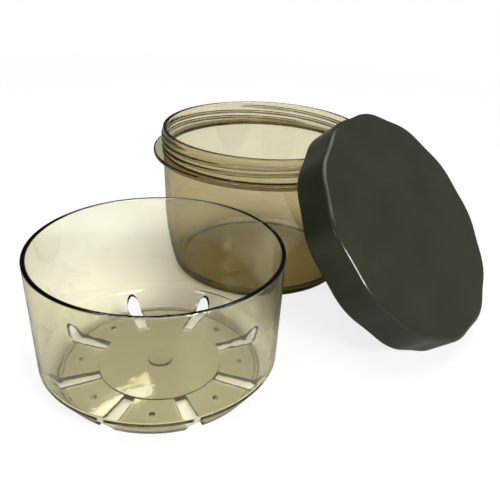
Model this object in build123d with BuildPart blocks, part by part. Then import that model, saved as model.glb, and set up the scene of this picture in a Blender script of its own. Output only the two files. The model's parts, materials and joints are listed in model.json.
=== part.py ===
from build123d import *
import math
import os

# Bait dip pot, standing open: a clear screw-top jar, the slotted drain basket that goes into it,
# set down beside it, and the twelve-sided screw lid, which leans on the jar's rim.
# +Z is up, and the origin is the middle of the jar's base.

# Jar, measured outside unless a name says otherwise
jar_height = 66.4
jar_bore_r = 44.8
jar_wall = 1.6
jar_floor = 1.8
waist_height = 28.0
waist_draw = 0.7
base_draw = 5.3
base_round = 3.6
inner_base_round = 6.0
rim_round = 0.5
collar_reach = 4.3
neck_rise = 9.8
collar_thick = 2.0
collar_round = 0.5

# Thread, on the jar's neck and inside the lid
thread_starts = 3
thread_lead = 8.4
thread_proud = 0.7
thread_width = 1.3
thread_crest_width = 0.6
thread_below_rim = 2.2
thread_top_angle = 230.0
thread_turn = 290.0
thread_clearance = 0.2
thread_sink = 0.4
lid_thread_low = 1.4
lid_thread_turn = 220.0

# Lid and its sealing disc
lid_sides = 12
lid_wall = 1.3
lid_corner_round = 25.0
lid_top_plate = 3.0
lid_top_round = 1.8
lid_draw_in = 0.1
lid_rim_band = 1.6
collar_gap = 0.4
liner_thick = 2.0
liner_gap = 0.25

# Basket
basket_clearance = 0.8
basket_height = 49.3
basket_wall = 1.6
basket_draft_in = 1.25
basket_corner_round = 0.6
basket_inner_round = 2.8
cone_height = 8.3
cone_run = 5.85
foot_width = 1.6
foot_round = 0.5
floor_round = 2.0
foot_rise = 0.6
floor_thick = 1.65
disc_r = 22.3
disc_rise = 0.45
boss_r = 4.5
boss_rise = 1.3
boss_round = 0.8
dimple_r = 2.4
dimple_depth = 0.4

# Drain slots and holes in the basket's floor
slots = 8
slot_angle = 27.0
slot_inner_width = 4.4
slot_outer_width = 6.6
slot_top = 6.6
slot_run_out = 0.8
slot_below = 1.0
drain_hole_r = 1.1
drain_hole_circle_r = 29.2

# Where the loose pieces stand
rest_gap = 0.15
basket_bearing = 250.1
basket_stand_off = 3.7
lid_bearing = -34.62
lid_side_shift = -8.2
lid_touch_angle = 57.5

# Sizes that follow from the ones above
neck_r = jar_bore_r + jar_wall
waist_r = neck_r - waist_draw
jar_base_r = neck_r - base_draw
collar_r = neck_r + collar_reach
collar_top = jar_height - neck_rise
collar_bottom = collar_top - collar_thick
thread_top = jar_height - thread_below_rim
basket_rim_r = jar_bore_r - basket_clearance
basket_corner_r = basket_rim_r - basket_draft_in
basket_inner_r = basket_rim_r - basket_wall
corner_inner_r = basket_corner_r - basket_wall
foot_r = basket_corner_r - cone_run
foot_inner_r = foot_r - foot_width
basket_floor_top = foot_rise + floor_thick
cone_spread = cone_run / cone_height
cone_inner_foot_r = foot_r - basket_wall * math.hypot(1, cone_spread)
floor_edge_r = cone_inner_foot_r + basket_floor_top * cone_spread
cone_inner_top = (corner_inner_r - cone_inner_foot_r) / cone_spread
disc_top = basket_floor_top + disc_rise
boss_top = basket_floor_top + boss_rise
lid_thread_root_r = neck_r + thread_proud + thread_clearance
lid_bore_r = neck_r + thread_clearance
lid_apothem = lid_thread_root_r + lid_wall
lid_depth = neck_rise - collar_gap
lid_height = lid_depth + liner_thick + lid_top_plate
liner_r = lid_bore_r - liner_gap

# The basket stands clear of the jar's collar
basket_distance = collar_r + basket_rim_r + basket_stand_off
basket_x = basket_distance * math.cos(math.radians(basket_bearing))
basket_y = basket_distance * math.sin(math.radians(basket_bearing))
basket_plane = Plane(origin=(basket_x, basket_y, 0), x_dir=(1, 0, 0), z_dir=(0, 0, 1))
basket_section = Plane(origin=(basket_x, basket_y, 0), x_dir=(1, 0, 0), z_dir=(0, -1, 0))

# The lid stands on one flat, and the inner edge of its skirt rests on the jar's rim
touch_angle = math.radians(lid_touch_angle)
touch_up = lid_thread_root_r * math.sin(touch_angle)
touch_across = lid_side_shift + lid_thread_root_r * math.cos(touch_angle)
lean = math.asin((jar_height + rest_gap) / (lid_apothem + touch_up))
touch_out = math.sqrt(neck_r**2 - touch_across**2)
lid_out = touch_out + touch_up * math.cos(lean)
outwards = Vector(1, 0, 0).rotate(Axis.Z, lid_bearing)
sideways = Vector(0, 1, 0).rotate(Axis.Z, lid_bearing)
lid_normal = outwards * math.sin(lean) + Vector(0, 0, math.cos(lean))
lid_foot = Vector(0, 0, lid_apothem * math.sin(lean))
lid_middle = outwards * lid_out + sideways * lid_side_shift + lid_foot
lid_plane = Plane(origin=lid_middle, x_dir=sideways, z_dir=lid_normal)


def thread_ridge(root_r, crest_r, low, turn):
    """One right-hand ridge about Z that starts on the X axis, with its root sunk in the wall."""
    side = math.copysign(1, crest_r - root_r)
    sunk_r = root_r - side * thread_sink
    half_crest = thread_crest_width / 2
    flank_run = (thread_width - thread_crest_width) / 2
    half_sunk = half_crest + flank_run * (thread_proud + thread_sink) / thread_proud
    with BuildPart() as ridge:
        with BuildLine() as path:
            Helix(thread_lead, thread_lead * turn / 360, root_r, center=(0, 0, low))
        start = path.line @ 0
        with BuildSketch(Plane(origin=start, x_dir=(1, 0, 0), z_dir=path.line % 0)):
            with BuildLine():
                Polyline(
                    (sunk_r - root_r, -half_sunk),
                    (crest_r - root_r, -half_crest),
                    (crest_r - root_r, half_crest),
                    (sunk_r - root_r, half_sunk),
                    close=True,
                )
            make_face()
        sweep(path=path.line, is_frenet=True)
    return ridge.part


def slot_section(width):
    """Upright section of a drain slot: a tall half ellipse, widest at the foot."""
    with BuildSketch() as section:
        with BuildLine():
            EllipticalCenterArc((0, 0), width / 2, slot_top, start_angle=0, arc_size=180)
            Polyline(
                (-width / 2, 0), (-width / 2, -slot_below), (width / 2, -slot_below), (width / 2, 0)
            )
        make_face()
    return section.sketch


# Jar: a turned shell with a stop collar and a three-start thread
jar_ridge = thread_ridge(
    neck_r, neck_r + thread_proud, thread_top - thread_lead * thread_turn / 360, thread_turn
)
waist = (waist_r, waist_height)
inner_waist = (waist_r - jar_wall, waist_height)
base_corner = (jar_base_r, 0)
floor_corner = (jar_base_r - jar_wall, jar_floor)
down_wall = (waist_r - neck_r, waist_height - collar_bottom)
with BuildPart() as jar:
    with BuildSketch(Plane.XZ) as jar_section:
        with BuildLine():
            FilletPolyline(
                waist,
                (neck_r, collar_bottom),
                (collar_r, collar_bottom),
                (collar_r, collar_top),
                (neck_r, collar_top),
                (neck_r, jar_height),
                (jar_bore_r, jar_height),
                (jar_bore_r, collar_bottom),
                inner_waist,
                radius=[0, collar_round, collar_round, 0, rim_round, rim_round, 0],
            )
            TangentArc(waist, base_corner, tangent=down_wall)
            TangentArc(inner_waist, floor_corner, tangent=down_wall)
            Polyline(base_corner, (0, 0), (0, jar_floor), floor_corner)
        make_face()
        fillet(jar_section.vertices().sort_by_distance(base_corner)[0], base_round)
        fillet(jar_section.vertices().sort_by_distance(floor_corner)[0], inner_base_round)
    revolve(axis=Axis.Z)
    with PolarLocations(0, thread_starts, thread_top_angle - thread_turn):
        add(jar_ridge)

# Basket: a cup whose wall turns in over a cone to a slotted floor
with BuildPart() as slot_cutter:
    with BuildSketch(Plane.YZ.offset(disc_r)):
        add(slot_section(slot_inner_width))
    with BuildSketch(Plane.YZ.offset(basket_corner_r + slot_run_out)):
        add(slot_section(slot_outer_width))
    loft()

with BuildPart(basket_plane) as basket:
    with BuildSketch(basket_section):
        with BuildLine():
            FilletPolyline(
                (0, foot_rise),
                (foot_inner_r, foot_rise),
                (foot_inner_r, 0),
                (foot_r, 0),
                (basket_corner_r, cone_height),
                (basket_rim_r, basket_height),
                (basket_inner_r, basket_height),
                (corner_inner_r, cone_inner_top),
                (floor_edge_r, basket_floor_top),
                (disc_r, basket_floor_top),
                (disc_r, disc_top),
                (boss_r, disc_top),
                (boss_r, boss_top),
                (dimple_r, boss_top),
                radius=[
                    0,
                    0,
                    foot_round,
                    basket_corner_round,
                    rim_round,
                    rim_round,
                    basket_inner_round,
                    floor_round,
                    0,
                    0,
                    0,
                    boss_round,
                ],
            )
            TangentArc((0, boss_top - dimple_depth), (dimple_r, boss_top), tangent=(1, 0))
            Line((0, boss_top - dimple_depth), (0, foot_rise))
        make_face()
    revolve(axis=Axis((basket_x, basket_y, 0), (0, 0, 1)))
    with PolarLocations(0, slots, slot_angle):
        add(slot_cutter.part, mode=Mode.SUBTRACT)
    with BuildSketch(basket_plane):
        with PolarLocations(drain_hole_circle_r, slots, slot_angle - 180 / slots):
            Circle(drain_hole_r)
    extrude(amount=basket_floor_top, mode=Mode.SUBTRACT)

# Lid: a drafted twelve-sided cap with a threaded skirt
lid_ridge = thread_ridge(lid_thread_root_r, lid_bore_r, lid_thread_low, lid_thread_turn)
with BuildPart(lid_plane) as lid:
    for height, apothem in ((0, lid_apothem), (lid_height, lid_apothem - lid_draw_in)):
        with BuildSketch(lid_plane.offset(height)) as lid_outline:
            RegularPolygon(apothem, lid_sides, major_radius=False, rotation=180 / lid_sides - 90)
            fillet(lid_outline.vertices(), lid_corner_round)
    loft(ruled=True)
    top_face = lid.faces().sort_by(Axis(lid_middle, lid_normal))[-1]
    fillet(top_face.edges(), lid_top_round)
    with BuildSketch(lid_plane):
        Circle(lid_thread_root_r)
    extrude(amount=lid_depth - lid_rim_band, mode=Mode.SUBTRACT)
    with BuildSketch(lid_plane.offset(lid_depth - lid_rim_band)):
        Circle(lid_bore_r)
    extrude(amount=lid_rim_band + liner_thick, mode=Mode.SUBTRACT)
    with PolarLocations(0, thread_starts):
        add(lid_ridge)

# Sealing disc, held under the lid's top
with BuildPart() as lid_liner:
    with BuildSketch(lid_plane.offset(lid_depth)):
        Circle(liner_r)
    extrude(amount=liner_thick)

os.makedirs("parts", exist_ok=True)
jar.part.label = "jar"
basket.part.label = "basket"
lid.part.label = "lid"
lid_liner.part.label = "lid_liner"
for piece in (jar, basket, lid, lid_liner):
    export_step(piece.part, f"parts/{piece.part.label}.step")
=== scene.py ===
import json
import math

import bpy
from mathutils import Matrix, Vector


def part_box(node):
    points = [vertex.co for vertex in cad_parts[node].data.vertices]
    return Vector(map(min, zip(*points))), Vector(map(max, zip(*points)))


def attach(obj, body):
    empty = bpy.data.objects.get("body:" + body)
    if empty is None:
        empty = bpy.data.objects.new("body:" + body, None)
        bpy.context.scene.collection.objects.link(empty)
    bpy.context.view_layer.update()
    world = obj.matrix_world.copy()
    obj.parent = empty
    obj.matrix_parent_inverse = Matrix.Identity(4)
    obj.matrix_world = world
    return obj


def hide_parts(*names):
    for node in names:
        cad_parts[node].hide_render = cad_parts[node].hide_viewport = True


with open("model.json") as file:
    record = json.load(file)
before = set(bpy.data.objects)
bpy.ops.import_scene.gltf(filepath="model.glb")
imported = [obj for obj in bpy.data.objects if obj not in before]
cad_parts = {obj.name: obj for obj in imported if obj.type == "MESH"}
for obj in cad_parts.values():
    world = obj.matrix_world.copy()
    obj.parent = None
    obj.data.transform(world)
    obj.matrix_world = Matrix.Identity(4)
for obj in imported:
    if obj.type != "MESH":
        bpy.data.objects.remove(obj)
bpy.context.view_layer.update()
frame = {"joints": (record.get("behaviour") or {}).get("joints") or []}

MM = 0.001

# Places and outer sizes come from the frame, in millimetres
jar_low, jar_high = (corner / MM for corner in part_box("jar"))
basket_low, basket_high = (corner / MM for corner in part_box("basket"))
liner_low, liner_high = (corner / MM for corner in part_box("lid_liner"))
jar_height = jar_high.z
collar_r = (jar_high.x - jar_low.x) / 2
basket_middle = (basket_low + basket_high) / 2
basket_height = basket_high.z
lid_lift = next(joint for joint in frame["joints"] if joint["name"] == "lid_lift_off")
lid_axis = Vector(lid_lift["axis"]).normalized()

# Jar, as moulded
wall = 1.6
jar_floor = 1.8
collar_reach = 4.3
neck_r = collar_r - collar_reach
bore_r = neck_r - wall
waist_height = 28.0
waist_draw = 0.7
waist_r = neck_r - waist_draw
base_draw = 5.3
jar_base_r = neck_r - base_draw
base_round = 3.6
inner_base_round = 6.0
bore_bend = 12.0
rim_round = 0.5
collar_top = 56.6
collar_bottom = 54.6
collar_top_round = 0.5
collar_bottom_round = 0.9
over_collar_round = 0.3
under_collar_round = 0.4

# Thread on the neck and in the lid
thread_starts = 3
thread_lead = 8.4
thread_top = 64.2
thread_top_angle = 230.0
thread_turn = 290.0
# Half of a ridge's section: how far it stands out of the wall, and its half width there
ridge_shape = [(-0.3, 1.26), (0.12, 0.7), (0.3, 0.58), (0.5, 0.44), (0.62, 0.3), (0.69, 0.14)]
ridge_end_sink = 0.8
ridge_end_turn = 12
lid_thread_low = 1.4
lid_thread_turn = 220.0

# Basket, as moulded
basket_clearance = 0.8
basket_rim_r = bore_r - basket_clearance
basket_draft_in = 1.25
basket_corner_r = basket_rim_r - basket_draft_in
basket_corner_round = 0.6
basket_inner_round = 2.8
cone_height = 8.3
cone_run = 5.85
cone_spread = cone_run / cone_height
foot_r = basket_corner_r - cone_run
foot_width = 1.6
foot_inner_r = foot_r - foot_width
foot_round = 0.5
foot_rise = 0.6
floor_round = 2.0
floor_top = 2.25
cone_inner_foot_r = foot_r - wall * math.hypot(1, cone_spread)
floor_edge_r = cone_inner_foot_r + floor_top * cone_spread
cone_inner_top = (basket_corner_r - wall - cone_inner_foot_r) / cone_spread
disc_r = 22.3
disc_rise = 0.45
disc_top = floor_top + disc_rise
disc_foot_round = 0.15
boss_r = 4.5
boss_rise = 1.3
boss_top = floor_top + boss_rise
boss_round = 0.4
boss_foot_round = 0.02
dimple_r = 2.4
dimple_depth = 0.4
slots = 8
slot_angle = 27.0
slot_inner_width = 4.4
slot_outer_width = 6.6
slot_top = 6.6
slot_run_out = 0.8
slot_below = 1.0
hole_r = 1.1
hole_circle_r = 29.2
hole_cutter_depth = 12.0

# Lid and sealing disc, as moulded
lid_sides = 12
lid_apothem = 48.6
lid_corner_round = 25.0
lid_flat_dip = 0.13
lid_draw_in = 0.1
lid_height = 14.4
lid_top_round = 1.8
lid_top_flat_r = 38.0
# The flats fade out over the top, from the outer radius to the inner one
flats_full_r = 40.0
flats_gone_r = 32.0
lid_depth = 9.4
lid_thread_root_r = 47.3
lid_bore_r = 46.6
lid_rim_band = 1.6
band_low = lid_depth - lid_rim_band
band_edge_round = 0.15
skirt_inner_round = 0.25
skirt_outer_round = 0.35
liner_r = 46.35
liner_thick = 2.0
liner_edge_round = 0.4
lid_under = lid_depth + liner_thick

# Edges that come out of the mould almost sharp
crisp_round = 0.2

# Fineness of the meshes
segments = 360
fillet_steps = 6
corner_steps = 8
wall_steps = 24
slot_arc_steps = 24
hole_sides = 40
# A row this far beside a rounded edge, or at this share of a short span, keeps its neighbour flat
support = 0.25
support_share = 0.3
flat_rings = [30.0, 20.0, 10.0, 4.0]
dimple_rings = [0.8, 0.6, 0.4, 0.2]
# Edges that turn by more degrees than this stay sharp
ridge_sharp = 40
slot_sharp = 32

# Where the pieces stand. The lid is made about its own axis, from the middle of its skirt's rim.
jar_place = Matrix.Translation((0, 0, 0))
basket_place = Matrix.Translation((basket_middle.x * MM, basket_middle.y * MM, 0))
lid_middle = (liner_low + liner_high) / 2 - lid_axis * (lid_depth + liner_thick / 2)
sideways = Vector((0, 0, 1)).cross(lid_axis).normalized()
upslope = lid_axis.cross(sideways)
lid_turn = Matrix((sideways, upslope, lid_axis)).transposed().to_4x4()
lid_place = Matrix.Translation(lid_middle * MM) @ lid_turn

# Finishes. A pattern's scale is its repeats in a millimetre, and a bump's depth is in metres.
styrene_ior = 1.57
styrene_roughness = (0.012, 0.05)
flow_waves = 0.09  # 11 mm long
flow_wave_depth = 0.12 * MM
handling_marks = 0.8  # 1.3 mm apart
handling_mark_depth = 0.02 * MM
# What a metre of the plastic takes out of red, green and blue light, and the density that these
# are shares of. Blue goes first, so thick and edge-on parts are browner. The basket's plastic takes
# out about half as much as the jar's, and part of that gap is painted light and shade: the jar's
# stronger tint is partly painted shade, and the basket's weaker one is partly painted light.
jar_absorbs_and_painted_shade = (254, 298, 490)
jar_density = 500
jar_shadow = "c2b66e"
basket_absorbs_and_painted_light = (112, 123, 228)
basket_density = 238
basket_shadow = "988c50"

lid_ior = 1.5
lid_gloss = 0.3
lid_roughness = (0.16, 0.28)
lid_tones = ("212519", "272b1f")
lid_clouds = 0.06  # 17 mm across
lid_grain = 5.0  # 0.2 mm
lid_grain_depth = 0.03 * MM
lid_sinks = 0.05  # 20 mm across
lid_sink_depth = 0.2 * MM
lid_scuffs = 0.5  # 2 mm apart

foam_roughness = (0.7, 0.9)
foam_tones = ("c2c0b4", "d6d4ca")
foam_cells = 1.8  # 0.6 mm across
foam_pore_depth = 0.1 * MM
foam_mottle = 0.25  # 4 mm across

table_white = "f6f6f6"
table_roughness = (0.3, 0.4)
table_clouds = 0.02  # 50 mm across

# The middle part of a noise's range, which it mostly fills: narrower for the finer noises
noise_span = (0.3, 0.7)
fine_noise_span = (0.35, 0.7)


def linear(colour):
    """The linear RGBA of an sRGB hex colour such as "8a8560"."""
    parts = [int(colour[i : i + 2], 16) / 255 for i in (0, 2, 4)]
    return (*[c / 12.92 if c <= 0.04045 else ((c + 0.055) / 1.055) ** 2.4 for c in parts], 1)


def add(tree, kind, *values, inputs=None, **settings):
    """Adds a node with its settings, and fills its inputs in order, or by name or number.

    A value that is a node or a socket is linked, and None leaves an input as it is.
    """
    node = tree.nodes.new(kind)
    for name, value in settings.items():
        setattr(node, name, value)
    named = ((node.inputs[key], value) for key, value in (inputs or {}).items())
    for socket, value in (*zip(node.inputs, values), *named):
        if isinstance(value, bpy.types.Node):
            tree.links.new(value.outputs[0], socket)
        elif isinstance(value, bpy.types.NodeSocket):
            tree.links.new(value, socket)
        elif value is not None:
            socket.default_value = value
    return node


def material(name):
    """An empty node material and its tree."""
    made = bpy.data.materials.new(name)
    made.use_nodes = True
    made.node_tree.nodes.clear()
    return made, made.node_tree


# Profiles: half sections as lists of (radius, height) in millimetres


def rounded(corners):
    """The outline through (radius, height, round) corners, with support points beside each round.

    The first and the last are the outline's ends, and aren't rounded.
    """
    places = [Vector(corner[:2]) for corner in corners]
    rounds = [corner[2] for corner in corners[1:-1]]
    halves, reaches = [], [0.0]
    for i, radius in enumerate(rounds, 1):
        back, ahead = places[i - 1] - places[i], places[i + 1] - places[i]
        halves.append(back.angle(ahead) / 2)
        reaches.append(radius / math.tan(halves[-1]))
    reaches.append(0.0)
    spans = [(b - a).length for a, b in zip(places, places[1:])]
    room = [
        min(support, support_share * (span - before - after))
        for span, before, after in zip(spans, reaches, reaches[1:])
    ]
    outline = [corners[0][:2]]
    for i, radius in enumerate(rounds, 1):
        back = (places[i - 1] - places[i]).normalized()
        ahead = (places[i + 1] - places[i]).normalized()
        middle = places[i] + (back + ahead).normalized() * (radius / math.sin(halves[i - 1]))
        start = places[i] + back * reaches[i] - middle
        end = places[i] + ahead * reaches[i] - middle
        outline.append(tuple(places[i] + back * (reaches[i] + room[i - 1])))
        turn = start.angle(end)
        for step in range(fillet_steps + 1):
            share = step / fillet_steps
            spoke = start * math.sin(turn * (1 - share)) + end * math.sin(turn * share)
            outline.append(tuple(middle + spoke / math.sin(turn)))
        outline.append(tuple(places[i] + ahead * (reaches[i] + room[i])))
    outline.append(corners[-1][:2])
    return outline


def curved_wall(top, direction, foot, corner_round):
    """Points from a level floor at the foot's height, round its corner and up a bellied wall.

    The wall is one arc that leaves the top in the given direction and points at the foot.
    """
    a, b, d = Vector(top), Vector(foot), Vector(direction).normalized()
    normal = Vector((d.y, -d.x))
    chord = b - a
    radius = chord.length_squared / (2 * chord.dot(normal))
    middle = a + normal * radius
    radius = abs(radius)
    lift = b.y + corner_round - middle.y
    corner_out = math.sqrt((radius - corner_round) ** 2 - lift**2)
    corner = Vector((middle.x + corner_out, b.y + corner_round))
    low = math.atan2(corner.y - middle.y, corner.x - middle.x)
    high = math.atan2(a.y - middle.y, a.x - middle.x)
    points = [(corner.x - support, b.y)]
    for i in range(corner_steps + 1):
        turn = -math.pi / 2 + (low + math.pi / 2) * i / corner_steps
        across, up = corner_round * math.cos(turn), corner_round * math.sin(turn)
        points.append((corner.x + across, corner.y + up))
    for i in range(1, wall_steps + 1):
        turn = low + (high - low) * i / wall_steps
        points.append((middle.x + radius * math.cos(turn), middle.y + radius * math.sin(turn)))
    return points


def new_piece(name, verts, faces):
    """A mesh object of that name in the scene."""
    mesh = bpy.data.meshes.new(name)
    mesh.from_pydata(verts, [], faces)
    piece = bpy.data.objects.new(name, mesh)
    bpy.context.scene.collection.objects.link(piece)
    return piece


def lathe(name, profile):
    """A closed turned solid about Z from a profile that starts and ends on the axis."""
    verts, rings = [], []
    for radius, height in profile:
        if radius == 0:
            rings.append([len(verts)])
            verts.append((0, 0, height))
        else:
            rings.append(range(len(verts), len(verts) + segments))
            for i in range(segments):
                a = 2 * math.pi * i / segments
                verts.append((radius * math.cos(a), radius * math.sin(a), height))
    faces = []
    for low, high in zip(rings, rings[1:]):
        for i in range(segments):
            j = (i + 1) % segments
            if len(low) == 1:
                faces.append((low[0], high[j], high[i]))
            elif len(high) == 1:
                faces.append((low[i], low[j], high[0]))
            else:
                faces.append((low[i], low[j], high[j], high[i]))
    return new_piece(name, verts, faces)


# Geometry node trees


def new_tree(name, sizes):
    """A geometry node tree with a geometry input, named sizes and a geometry output."""
    tree = bpy.data.node_groups.new(name, "GeometryNodeTree")
    tree.interface.new_socket("Geometry", in_out="INPUT", socket_type="NodeSocketGeometry")
    for size in sizes:
        tree.interface.new_socket(size, in_out="INPUT", socket_type="NodeSocketFloat")
    tree.interface.new_socket("Finish", in_out="INPUT", socket_type="NodeSocketMaterial")
    tree.interface.new_socket("Geometry", in_out="OUTPUT", socket_type="NodeSocketGeometry")
    return tree, add(tree, "NodeGroupInput")


def close_tree(tree, source, geometry):
    """Ends a tree in Realize Instances and Set Material."""
    real = add(tree, "GeometryNodeRealizeInstances", geometry)
    made = add(tree, "GeometryNodeSetMaterial", real, None, source.outputs["Finish"])
    add(tree, "NodeGroupOutput", made)


def run_tree(piece, tree, values):
    """Runs a tree on a piece, keeps the result as its plain mesh and removes the modifier."""
    modifier = piece.modifiers.new(tree.name, "NODES")
    modifier.node_group = tree
    for item in tree.interface.items_tree:
        if item.in_out == "INPUT" and item.name in values:
            modifier[item.identifier] = values[item.name]
    shown = piece.evaluated_get(bpy.context.evaluated_depsgraph_get())
    result = bpy.data.meshes.new_from_object(shown)
    piece.modifiers.remove(modifier)
    piece.data = result


def ring_of(tree, shape, count, first_angle):
    """Copies of a shape evenly round Z, the first one turned by that angle."""
    whole_count = add(tree, "FunctionNodeFloatToInt", count)
    points = add(tree, "GeometryNodeMeshLine", whole_count, inputs={"Offset": (0, 0, 0)})
    step = add(tree, "ShaderNodeMath", 360.0, count, operation="DIVIDE")
    index = add(tree, "GeometryNodeInputIndex")
    degrees = add(tree, "ShaderNodeMath", index, step, first_angle, operation="MULTIPLY_ADD")
    radians = add(tree, "ShaderNodeMath", degrees, operation="RADIANS")
    turn = add(tree, "ShaderNodeCombineXYZ", 0.0, 0.0, radians)
    placed = {"Instance": shape, "Rotation": turn}
    return add(tree, "GeometryNodeInstanceOnPoints", points, inputs=placed)


def thread_tree(ridge):
    """Joins the thread's ridges, one for each start, to the wall they stand on."""
    tree, source = new_tree("thread_starts", ["Starts", "First angle"])
    shape = add(tree, "GeometryNodeObjectInfo", ridge).outputs["Geometry"]
    ridges = ring_of(tree, shape, source.outputs["Starts"], source.outputs["First angle"])
    whole_ridges = add(tree, "GeometryNodeRealizeInstances", ridges)
    joined = add(tree, "GeometryNodeMeshBoolean", operation="UNION", solver="EXACT")
    for geometry in (source, whole_ridges):
        tree.links.new(geometry.outputs[0], joined.inputs["Mesh 2"])
    close_tree(tree, source, joined)
    return tree


def thread_ridge(root_r, side, low, turn):
    """One ridge that climbs a lead in each turn and sinks into the wall at both ends.

    Side is 1 for a ridge outside the wall and -1 for one inside it. It has a section each degree.
    """
    section = [(out, -half) for out, half in ridge_shape]
    section += [(out, half) for out, half in reversed(ridge_shape)]
    count = len(section)
    verts, faces = [], []
    for step in range(round(turn) + 1):
        a = math.radians(step)
        to_end = min(step, turn - step)
        sunk = ridge_end_sink * max(0, 1 - to_end / ridge_end_turn)
        height = low + thread_lead * step / 360
        for out, along in section:
            r = root_r + side * (out - sunk)
            verts.append((r * math.cos(a), r * math.sin(a), height + along))
    for step in range(round(turn)):
        base, ahead = step * count, (step + 1) * count
        for i in range(count):
            j = (i + 1) % count
            faces.append((base + i, ahead + i, ahead + j, base + j))
    faces += [tuple(range(count)), tuple(reversed(range(len(verts) - count, len(verts))))]
    if side < 0:
        faces = [tuple(reversed(face)) for face in faces]
    return new_piece("thread_ridge", verts, faces)


def flats_tree():
    """Turns a round wall into a many-sided one with rounded corners, where the mesh says so."""
    tree, source = new_tree("rounded_flats", ["Sides", "Apothem", "Corner radius", "Dip"])
    xyz = add(tree, "ShaderNodeSeparateXYZ", add(tree, "GeometryNodeInputPosition"))
    out = add(tree, "ShaderNodeCombineXYZ", xyz.outputs[0], xyz.outputs[1], 0.0)
    radius = add(tree, "ShaderNodeVectorMath", out, operation="LENGTH").outputs["Value"]
    angle = add(tree, "ShaderNodeMath", xyz.outputs[1], xyz.outputs[0], operation="ARCTAN2")
    side = add(tree, "ShaderNodeMath", 2 * math.pi, source.outputs["Sides"], operation="DIVIDE")
    half_side = add(tree, "ShaderNodeMath", side, 0.5, operation="MULTIPLY")
    # How far round a point is from the middle of its own flat: one flat is straight down, at -Y
    from_down = add(tree, "ShaderNodeMath", angle, math.pi / 2)
    sides_round = add(tree, "ShaderNodeMath", from_down, side, operation="DIVIDE")
    whole_sides = add(tree, "ShaderNodeMath", sides_round, operation="ROUND")
    flat_middle = add(tree, "ShaderNodeMath", whole_sides, side, operation="MULTIPLY")
    turned = add(tree, "ShaderNodeMath", from_down, flat_middle, operation="SUBTRACT")
    off = add(tree, "ShaderNodeMath", turned, operation="ABSOLUTE")
    # A row nearer the axis than the wall is an offset of it: its corners are tighter by as much
    inset = add(tree, "ShaderNodeMath", source.outputs["Apothem"], radius, operation="SUBTRACT")
    full_corner = source.outputs["Corner radius"]
    corner = add(tree, "ShaderNodeMath", full_corner, inset, operation="SUBTRACT")
    straight = add(tree, "ShaderNodeMath", radius, corner, operation="SUBTRACT")
    # On a flat, which is very slightly hollow, to give the fingers a grip
    off_cos = add(tree, "ShaderNodeMath", off, operation="COSINE")
    plain_flat = add(tree, "ShaderNodeMath", radius, off_cos, operation="DIVIDE")
    dip_end = add(tree, "ShaderNodeMath", half_side, 0.5, operation="MULTIPLY")
    hollow = add(
        tree,
        "ShaderNodeMapRange",
        off,
        0.0,
        dip_end,
        source.outputs["Dip"],
        0.0,
        interpolation_type="SMOOTHSTEP",
    )
    on_flat = add(tree, "ShaderNodeMath", plain_flat, hollow, operation="SUBTRACT")
    # On a corner, which is an arc about a middle of its own
    half_cos = add(tree, "ShaderNodeMath", half_side, operation="COSINE")
    arc_middle = add(tree, "ShaderNodeMath", straight, half_cos, operation="DIVIDE")
    to_corner = add(tree, "ShaderNodeMath", half_side, off, operation="SUBTRACT")
    corner_cos = add(tree, "ShaderNodeMath", to_corner, operation="COSINE")
    along = add(tree, "ShaderNodeMath", corner_cos, arc_middle, operation="MULTIPLY")
    corner_sin = add(tree, "ShaderNodeMath", to_corner, operation="SINE")
    across = add(tree, "ShaderNodeMath", corner_sin, arc_middle, operation="MULTIPLY")
    across_squared = add(tree, "ShaderNodeMath", across, across, operation="MULTIPLY")
    corner_squared = add(tree, "ShaderNodeMath", corner, corner, operation="MULTIPLY")
    squared = add(tree, "ShaderNodeMath", corner_squared, across_squared, operation="SUBTRACT")
    beyond = add(tree, "ShaderNodeMath", squared, operation="SQRT")
    on_corner = add(tree, "ShaderNodeMath", along, beyond)
    # Which of the two it is on, and how far to move it in or out
    off_tan = add(tree, "ShaderNodeMath", off, operation="TANGENT")
    spread = add(tree, "ShaderNodeMath", off_tan, radius, operation="MULTIPLY")
    half_tan = add(tree, "ShaderNodeMath", half_side, operation="TANGENT")
    flat_end = add(tree, "ShaderNodeMath", straight, half_tan, operation="MULTIPLY")
    past_flat = add(tree, "ShaderNodeMath", spread, flat_end, operation="GREATER_THAN")
    shape = add(tree, "ShaderNodeMix", past_flat, None, on_flat, on_corner)
    growth = add(tree, "ShaderNodeMath", shape.outputs[0], radius, operation="DIVIDE")
    change = add(tree, "ShaderNodeMath", growth, 1.0, operation="SUBTRACT")
    outer = add(tree, "GeometryNodeInputNamedAttribute", "flats", data_type="FLOAT")
    drawn = outer.outputs["Attribute"]
    share = add(tree, "ShaderNodeMath", change, drawn, operation="MULTIPLY")
    shift = add(tree, "ShaderNodeVectorMath", out, inputs={"Scale": share}, operation="SCALE")
    moved = add(tree, "GeometryNodeSetPosition", source, None, None, shift)
    close_tree(tree, source, moved)
    return tree


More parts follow.
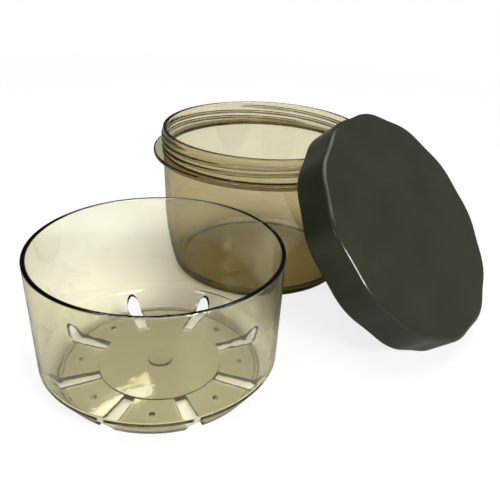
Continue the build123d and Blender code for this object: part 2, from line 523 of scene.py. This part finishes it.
def slot_tree(cutter):
    """Cuts a ring of slots and, midway between them, a ring of drain holes through the basket."""
    sizes = ["Slots", "Slot angle", "Hole angle", "Hole radius", "Hole circle radius"]
    tree, source = new_tree("slots_and_drain_holes", sizes)
    slot = add(tree, "GeometryNodeObjectInfo", cutter).outputs["Geometry"]
    slot_ring = ring_of(tree, slot, source.outputs["Slots"], source.outputs["Slot angle"])
    drill_r = source.outputs["Hole radius"]
    drill = add(tree, "GeometryNodeMeshCylinder", hole_sides, 1, 1, drill_r, hole_cutter_depth)
    reach = add(tree, "ShaderNodeCombineXYZ", source.outputs["Hole circle radius"], 0.0, 0.0)
    hole = add(tree, "GeometryNodeTransform", drill, reach)
    hole_ring = ring_of(tree, hole, source.outputs["Slots"], source.outputs["Hole angle"])
    both = add(tree, "GeometryNodeJoinGeometry")
    for ring in (slot_ring, hole_ring):
        tree.links.new(ring.outputs[0], both.inputs[0])
    cutters = add(tree, "GeometryNodeRealizeInstances", both)
    cut = add(
        tree, "GeometryNodeMeshBoolean", source, cutters, operation="DIFFERENCE", solver="EXACT"
    )
    close_tree(tree, source, cut)
    return tree


def slot_cutter():
    """The solid that one slot takes out: a tall half ellipse, wider outwards."""
    ends = ((disc_r, slot_inner_width), (basket_corner_r + slot_run_out, slot_outer_width))
    rows = []
    for reach, width in ends:
        row = [(reach, -width / 2, -slot_below), (reach, width / 2, -slot_below)]
        for i in range(slot_arc_steps + 1):
            a = math.pi * i / slot_arc_steps
            row.append((reach, width / 2 * math.cos(a), slot_top * math.sin(a)))
        rows.append(row)
    count = len(rows[0])
    faces = [tuple(reversed(range(count))), tuple(range(count, 2 * count))]
    for i in range(count):
        j = (i + 1) % count
        faces.append((i, j, j + count, i + count))
    return new_piece("slot_cutter", rows[0] + rows[1], faces)


def settle(piece, placement, sharp_angle=None):
    """Puts a mesh made in millimetres about its own axis where it stands, in metres.

    It is smooth, except at edges that turn by more than the sharp angle, in degrees.
    """
    piece.data.polygons.foreach_set("use_smooth", [True] * len(piece.data.polygons))
    if sharp_angle:
        piece.data.set_sharp_from_angle(angle=math.radians(sharp_angle))
    piece.data.transform(placement @ Matrix.Scale(MM, 4))
    piece.data.update()


# Materials


def in_mm(tree, placement):
    """Object coordinates in millimetres, from a piece's own middle and along its own axes."""
    turn = placement.to_3x3().inverted().to_4x4()
    middle = turn @ placement.translation / MM
    coords = add(tree, "ShaderNodeTexCoord").outputs["Object"]
    scale = (1 / MM, 1 / MM, 1 / MM)
    return add(tree, "ShaderNodeMapping", coords, -middle, turn.to_euler(), scale)


def smoke_plastic(name, placement, absorbed, density, shadow_tint):
    """Clear plastic with an olive-smoke tint: the thicker the path, the darker and browner it gets.

    Flow waves from moulding bend what is seen through it a little, and light handling marks break
    up its highlights. Lamp light passes through it and is tinted, so its shadow stays light.
    """
    made, tree = material(name)
    place = in_mm(tree, placement)
    waves = add(
        tree,
        "ShaderNodeTexNoise",
        place,
        inputs={"Scale": flow_waves, "Detail": 2.0, "Distortion": 0.6},
    )
    swell = add(
        tree,
        "ShaderNodeBump",
        inputs={"Strength": 0.35, "Distance": flow_wave_depth, "Height": waves.outputs["Fac"]},
    )
    marks = add(
        tree,
        "ShaderNodeTexNoise",
        place,
        inputs={"Scale": handling_marks, "Detail": 6.0, "Roughness": 0.7},
    )
    fine = add(
        tree,
        "ShaderNodeBump",
        inputs={
            "Strength": 0.06,
            "Distance": handling_mark_depth,
            "Height": marks.outputs["Fac"],
            "Normal": swell,
        },
    )
    rough = add(
        tree, "ShaderNodeMapRange", marks.outputs["Fac"], *fine_noise_span, *styrene_roughness
    )
    plastic = add(
        tree,
        "ShaderNodeBsdfPrincipled",
        inputs={
            "Base Color": linear("ffffff"),
            "Roughness": rough,
            "IOR": styrene_ior,
            "Transmission Weight": 1.0,
            "Normal": fine,
        },
    )
    clear = add(tree, "ShaderNodeBsdfTransparent", linear(shadow_tint))
    path = add(tree, "ShaderNodeLightPath")
    mixed = add(tree, "ShaderNodeMixShader", path.outputs["Is Shadow Ray"], plastic, clear)
    tint = (*[1 - share / density for share in absorbed], 1)
    volume = add(tree, "ShaderNodeVolumeAbsorption", tint, density)
    add(tree, "ShaderNodeOutputMaterial", mixed, volume)
    return made


def lid_plastic(placement):
    """Dark olive moulded plastic: nearly black and satin, with a fine grain that spreads its shine.

    Wide shallow sinks make its reflections wander a little, and scuffs dull them here and there.
    """
    made, tree = material("dark_olive_moulded_plastic")
    place = in_mm(tree, placement)
    cloud = add(tree, "ShaderNodeTexNoise", place, inputs={"Scale": lid_clouds, "Detail": 4.0})
    tone = add(tree, "ShaderNodeValToRGB", cloud.outputs["Fac"])
    for stop, position, colour in zip(tone.color_ramp.elements, noise_span, lid_tones):
        stop.position, stop.color = position, linear(colour)
    grain = add(tree, "ShaderNodeTexNoise", place, inputs={"Scale": lid_grain, "Detail": 3.0})
    fine = add(
        tree,
        "ShaderNodeBump",
        inputs={"Strength": 0.12, "Distance": lid_grain_depth, "Height": grain.outputs["Fac"]},
    )
    sink = add(tree, "ShaderNodeTexNoise", place, inputs={"Scale": lid_sinks, "Detail": 1.0})
    wavy = add(
        tree,
        "ShaderNodeBump",
        inputs={
            "Strength": 0.2,
            "Distance": lid_sink_depth,
            "Height": sink.outputs["Fac"],
            "Normal": fine,
        },
    )
    scuffs = add(
        tree,
        "ShaderNodeTexNoise",
        place,
        inputs={"Scale": lid_scuffs, "Detail": 8.0, "Roughness": 0.7},
    )
    rough = add(
        tree, "ShaderNodeMapRange", scuffs.outputs["Fac"], *fine_noise_span, *lid_roughness
    )
    plastic = add(
        tree,
        "ShaderNodeBsdfPrincipled",
        tone,
        inputs={
            "Roughness": rough,
            "IOR": lid_ior,
            "Specular IOR Level": lid_gloss,
            "Normal": wavy,
        },
    )
    add(tree, "ShaderNodeOutputMaterial", plastic)
    return made


def liner_foam(placement):
    """Pale closed-cell foam: matt and slightly mottled, with pores that show up close."""
    made, tree = material("closed_cell_polyethylene_foam")
    place = in_mm(tree, placement)
    cells = add(
        tree, "ShaderNodeTexVoronoi", place, inputs={"Scale": foam_cells, "Randomness": 1.0}
    )
    mottle = add(tree, "ShaderNodeTexNoise", place, inputs={"Scale": foam_mottle, "Detail": 5.0})
    tone = add(tree, "ShaderNodeValToRGB", mottle.outputs["Fac"])
    for stop, position, colour in zip(tone.color_ramp.elements, noise_span, foam_tones):
        stop.position, stop.color = position, linear(colour)
    pores = add(
        tree,
        "ShaderNodeBump",
        inputs={"Strength": 0.4, "Distance": foam_pore_depth, "Height": cells.outputs["Distance"]},
    )
    rough = add(tree, "ShaderNodeMapRange", mottle.outputs["Fac"], *noise_span, *foam_roughness)
    foam = add(tree, "ShaderNodeBsdfPrincipled", tone, inputs={"Roughness": rough, "Normal": pores})
    add(tree, "ShaderNodeOutputMaterial", foam)
    return made


def table_acrylic():
    """White acrylic sheet: smooth, with a faint unevenness in its sheen, and lit like a sweep.

    To the camera it mostly glows, so that it stays white and keeps a light shadow, and away from
    the lamps' pool of light it glows fully. To the pieces it is a lit table that hardly glows, and
    what they mirror of it is dim, as beyond the edge of a small table.
    """
    pool = (220.0, 600.0)
    glow_in_and_past_pool = (0.8, 1.0)
    glow_on_pieces = 0.06
    mirror_loss = 0.65
    made, tree = material("white_acrylic_table")
    place = in_mm(tree, Matrix.Identity(4))
    cloud = add(tree, "ShaderNodeTexNoise", place, inputs={"Scale": table_clouds, "Detail": 2.0})
    rough = add(tree, "ShaderNodeMapRange", cloud.outputs["Fac"], *noise_span, *table_roughness)
    white = linear(table_white)
    lit = add(tree, "ShaderNodeBsdfPrincipled", white, inputs={"Roughness": rough})
    glow = add(tree, "ShaderNodeEmission", linear("ffffff"), 1.0)
    away = add(tree, "ShaderNodeVectorMath", place, operation="LENGTH").outputs["Value"]
    seen_glow = add(tree, "ShaderNodeMapRange", away, *pool, *glow_in_and_past_pool)
    path = add(tree, "ShaderNodeLightPath").outputs
    share = add(
        tree, "ShaderNodeMapRange", path["Is Camera Ray"], 0.0, 1.0, glow_on_pieces, seen_glow
    )
    table = add(tree, "ShaderNodeMixShader", share, lit, glow)
    # A ray that goes on through the plastic counts as glossy too, and isn't a mirrored one
    mirrored = add(
        tree,
        "ShaderNodeMath",
        path["Is Glossy Ray"],
        path["Is Transmission Ray"],
        operation="SUBTRACT",
        use_clamp=True,
    )
    loss = add(tree, "ShaderNodeMath", mirrored, mirror_loss, operation="MULTIPLY")
    dark = add(tree, "ShaderNodeEmission", linear("000000"), 1.0)
    seen = add(tree, "ShaderNodeMixShader", loss, table, dark)
    add(tree, "ShaderNodeOutputMaterial", seen)
    return made


# Pieces


def make_jar():
    """The jar: a turned shell with a belly and a stop collar, and three ridges on its neck."""
    wall_down = (waist_r - neck_r, waist_height - collar_bottom)
    outer_wall = curved_wall((waist_r, waist_height), wall_down, (jar_base_r, 0), base_round)
    inner_waist = (waist_r - wall, waist_height)
    floor_corner = (jar_base_r - wall, jar_floor)
    inner_wall = curved_wall(inner_waist, wall_down, floor_corner, inner_base_round)
    upper_half = rounded(
        [
            (*outer_wall[-1], 0),
            (neck_r, collar_bottom, under_collar_round),
            (collar_r, collar_bottom, collar_bottom_round),
            (collar_r, collar_top, collar_top_round),
            (neck_r, collar_top, over_collar_round),
            (neck_r, jar_height, rim_round),
            (bore_r, jar_height, rim_round),
            (bore_r, collar_bottom, bore_bend),
            (*inner_wall[-1], 0),
        ]
    )
    profile = (
        [(0, 0)]
        + [(r, 0) for r in reversed(flat_rings)]
        + outer_wall[:-1]
        + upper_half
        + inner_wall[-2::-1]
        + [(r, jar_floor) for r in flat_rings]
        + [(0, jar_floor)]
    )
    plastic = smoke_plastic(
        "olive_smoke_styrene_jar", jar_place, jar_absorbs_and_painted_shade, jar_density, jar_shadow
    )
    shell = lathe("jar_shell", profile)
    ridge_low = thread_top - thread_lead * thread_turn / 360
    ridge = thread_ridge(neck_r, 1, ridge_low, thread_turn)
    sizes = {
        "Starts": float(thread_starts),
        "First angle": thread_top_angle - thread_turn,
        "Finish": plastic,
    }
    run_tree(shell, thread_tree(ridge), sizes)
    bpy.data.objects.remove(ridge)
    settle(shell, jar_place, ridge_sharp)
    return shell


def make_basket():
    """The basket: a turned cup with a cone to its foot, and slots and drain holes cut through."""
    cup = rounded(
        [
            (0, foot_rise, 0),
            (foot_inner_r, foot_rise, crisp_round),
            (foot_inner_r, 0, crisp_round),
            (foot_r, 0, foot_round),
            (basket_corner_r, cone_height, basket_corner_round),
            (basket_rim_r, basket_height, rim_round),
            (basket_rim_r - wall, basket_height, rim_round),
            (basket_corner_r - wall, cone_inner_top, basket_inner_round),
            (floor_edge_r, floor_top, floor_round),
            (disc_r, floor_top, disc_foot_round),
            (disc_r, disc_top, crisp_round),
            (boss_r, disc_top, boss_foot_round),
            (boss_r, boss_top, boss_round),
            (dimple_r, boss_top, 0),
        ]
    )
    dimple = [(dimple_r * s, boss_top - dimple_depth * (1 - s * s)) for s in dimple_rings]
    profile = cup + dimple + [(0, boss_top - dimple_depth)]
    plastic = smoke_plastic(
        "olive_smoke_styrene_basket", basket_place, basket_absorbs_and_painted_light, basket_density, basket_shadow
    )
    shell = lathe("basket_shell", profile)
    cutter = slot_cutter()
    sizes = {
        "Slots": float(slots),
        "Slot angle": slot_angle,
        "Hole angle": slot_angle - 180 / slots,
        "Hole radius": hole_r,
        "Hole circle radius": hole_circle_r,
        "Finish": plastic,
    }
    run_tree(shell, slot_tree(cutter), sizes)
    bpy.data.objects.remove(cutter)
    settle(shell, basket_place, slot_sharp)
    return shell


def make_lid():
    """The lid: a turned cap, drawn into twelve flats outside, and three ridges in its skirt."""
    cap_outline = rounded(
        [
            (0, lid_under, 0),
            (lid_bore_r, lid_under, crisp_round),
            (lid_bore_r, band_low, band_edge_round),
            (lid_thread_root_r, band_low, crisp_round),
            (lid_thread_root_r, 0, skirt_inner_round),
            (lid_apothem, 0, skirt_outer_round),
            (lid_apothem - lid_draw_in, lid_height, lid_top_round),
            (lid_top_flat_r, lid_height, 0),
        ]
    )
    profile = cap_outline + [(r, lid_height) for r in flat_rings] + [(0, lid_height)]
    plastic = lid_plastic(lid_place)
    cap = lathe("lid_cap", profile)
    # Its outside is drawn into flats. Its inside stays round.
    flats = cap.data.attributes.new("flats", "FLOAT", "POINT")
    mid_skirt_r = (lid_thread_root_r + lid_apothem) / 2
    mid_plate = (lid_under + lid_height) / 2
    for vertex, share in zip(cap.data.vertices, flats.data):
        from_axis = math.hypot(vertex.co.x, vertex.co.y)
        if from_axis > mid_skirt_r or vertex.co.z > mid_plate:
            into_flats = (from_axis - flats_gone_r) / (flats_full_r - flats_gone_r)
            share.value = min(1, max(0, into_flats))
    outer_sizes = {
        "Sides": float(lid_sides),
        "Apothem": lid_apothem,
        "Corner radius": lid_corner_round,
        "Dip": lid_flat_dip,
        "Finish": plastic,
    }
    run_tree(cap, flats_tree(), outer_sizes)
    ridge = thread_ridge(lid_thread_root_r, -1, lid_thread_low, lid_thread_turn)
    inner_sizes = {"Starts": float(thread_starts), "First angle": 0.0, "Finish": plastic}
    run_tree(cap, thread_tree(ridge), inner_sizes)
    bpy.data.objects.remove(ridge)
    settle(cap, lid_place, ridge_sharp)
    return cap


def make_sealing_disc():
    """The foam disc that seals the jar's rim, held under the lid's top."""
    outline = rounded(
        [
            (0, lid_depth, 0),
            (liner_r, lid_depth, liner_edge_round),
            (liner_r, lid_under, crisp_round),
            (0, lid_under, 0),
        ]
    )
    seal = lathe("lid_seal", outline)
    seal.data.materials.append(liner_foam(lid_place))
    settle(seal, lid_place)
    return seal


jar_shell = make_jar()
basket_shell = make_basket()
lid_cap = make_lid()
lid_seal = make_sealing_disc()

# Who rides on what
for piece, node, slot_name in (
    (jar_shell, "jar", "smoke_clear"),
    (basket_shell, "basket", "smoke_clear"),
    (lid_cap, "lid", "dark_olive"),
    (lid_seal, "lid_liner", "liner_foam"),
):
    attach(piece, "lid" if node == "lid_liner" else node)
    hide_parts(node)

# The table stands just under the pieces and runs past every view
table_reach = 3.0
table_top = -0.2 * MM
table_corners = [
    (x * table_reach, y * table_reach, table_top) for x, y in ((-1, -1), (1, -1), (1, 1), (-1, 1))
]
floor = new_piece("floor", table_corners, [(0, 1, 2, 3)])
floor.data.materials.append(table_acrylic())


def studio_world():
    """The room round the table: white to the camera, and dim to the pieces that it lights.

    What shows through the plastic is white low down and dim overhead, and what it mirrors is a dim
    room, brighter on the right and in a low backdrop behind.
    """
    light_on_pieces = 0.22
    overhead_tones = ("ffffff", "3c3c3a")
    backdrop_light = 0.2
    left_light, right_light = 0.03, 0.2
    # The stretch of a direction's unit vector over which each of these changes
    overhead_z = (0.2, 0.45)
    backdrop_y = (0.4, 0.8)
    backdrop_z = (0.4, 0.15)
    sides_x = (0.0, 0.9)
    world = bpy.data.worlds.new("studio")
    world.use_nodes = True
    sky = world.node_tree
    sky.nodes.clear()
    direction = add(sky, "ShaderNodeTexCoord").outputs["Generated"]
    x, y, z = add(sky, "ShaderNodeSeparateXYZ", direction).outputs
    level = add(sky, "ShaderNodeValToRGB", z)
    for stop, height, tone in zip(level.color_ramp.elements, overhead_z, overhead_tones):
        stop.position, stop.color = height, linear(tone)
    through = add(sky, "ShaderNodeBackground", level, 1.0)
    behind = add(sky, "ShaderNodeMapRange", y, *backdrop_y, 0.0, backdrop_light)
    low = add(sky, "ShaderNodeMapRange", z, *backdrop_z, 0.0, 1.0)
    backdrop = add(sky, "ShaderNodeMath", behind, low, operation="MULTIPLY")
    sides = add(sky, "ShaderNodeMapRange", x, *sides_x, left_light, right_light)
    room = add(sky, "ShaderNodeMath", backdrop, sides, operation="MAXIMUM")
    mirrored = add(sky, "ShaderNodeBackground", room, 1.0)
    path = add(sky, "ShaderNodeLightPath").outputs
    strength = add(
        sky, "ShaderNodeMapRange", path["Is Camera Ray"], 0.0, 1.0, light_on_pieces, 1.0
    )
    plain = add(sky, "ShaderNodeBackground", linear("ffffff"), strength)
    see_through = add(sky, "ShaderNodeMixShader", path["Is Transmission Ray"], plain, through)
    seen = add(sky, "ShaderNodeMixShader", path["Is Glossy Ray"], see_through, mirrored)
    add(sky, "ShaderNodeOutputWorld", seen)
    return world


def softbox(name, place, aim, size, power, spin=0):
    """A rectangular soft lamp at place, in metres, that faces aim, turned about that line by spin.

    Its power is in watts and its spin in degrees.
    """
    lamp = bpy.data.lights.new(name, "AREA")
    lamp.shape = "RECTANGLE"
    lamp.size, lamp.size_y = size
    lamp.energy = power
    lamp_object = bpy.data.objects.new(name, lamp)
    lamp_object.location = place
    facing = Vector(aim) - Vector(place)
    turn = facing.to_track_quat("-Z", "Y").to_matrix()
    turn = turn @ Matrix.Rotation(math.radians(spin), 3, "Z")
    lamp_object.rotation_euler = turn.to_euler()
    bpy.context.scene.collection.objects.link(lamp_object)


bpy.context.scene.world = studio_world()

# Two soft lamps in front make the bright strokes inside the basket's far wall. The wide one
# overhead lights the lid's rounded edge, and the narrow one behind puts a glint on the floor disc.
front_aim = (0, -0.05, 0.03)
softbox("softbox_left", (-0.515, -0.75, 0.53), front_aim, size=(0.18, 0.09), power=1.1)
softbox("softbox_right", (0.512, -0.7, 0.53), front_aim, size=(0.36, 0.1), power=8.4)
softbox("softbox_top", (0.0, 0.05, 1.0), (0, -0.03, 0.03), size=(1.0, 0.9), power=12.0)
softbox(
    "lamp_behind",
    (-0.257, 0.622, 0.65),
    (-0.05, -0.11, 0),
    size=(0.14, 0.034),
    power=0.13,
    spin=23.7,
)

# Camera, matched to the photo
camera_place = Vector((3.045, -282.42, 147.5)) * MM
pitch, roll = 0.472, 0.058
camera_data = bpy.data.cameras.new("camera")
camera_data.sensor_width = 36
camera_data.lens = 45.33
camera_data.shift_x = -0.0297
camera_data.shift_y = -0.0012
camera_data.clip_start = 0.01
camera = bpy.data.objects.new("camera", camera_data)
level_right = Vector((1, 0, 0))
level_up = Vector((0, math.sin(pitch), math.cos(pitch)))
view_back = Vector((0, -math.cos(pitch), math.sin(pitch)))
view_right = level_right * math.cos(roll) + level_up * math.sin(roll)
view_up = level_up * math.cos(roll) - level_right * math.sin(roll)
camera_turn = Matrix((view_right, view_up, view_back)).transposed().to_4x4()
camera.matrix_world = Matrix.Translation(camera_place) @ camera_turn
bpy.context.scene.collection.objects.link(camera)
bpy.context.scene.camera = camera
bpy.context.scene.view_settings.view_transform = "Standard"
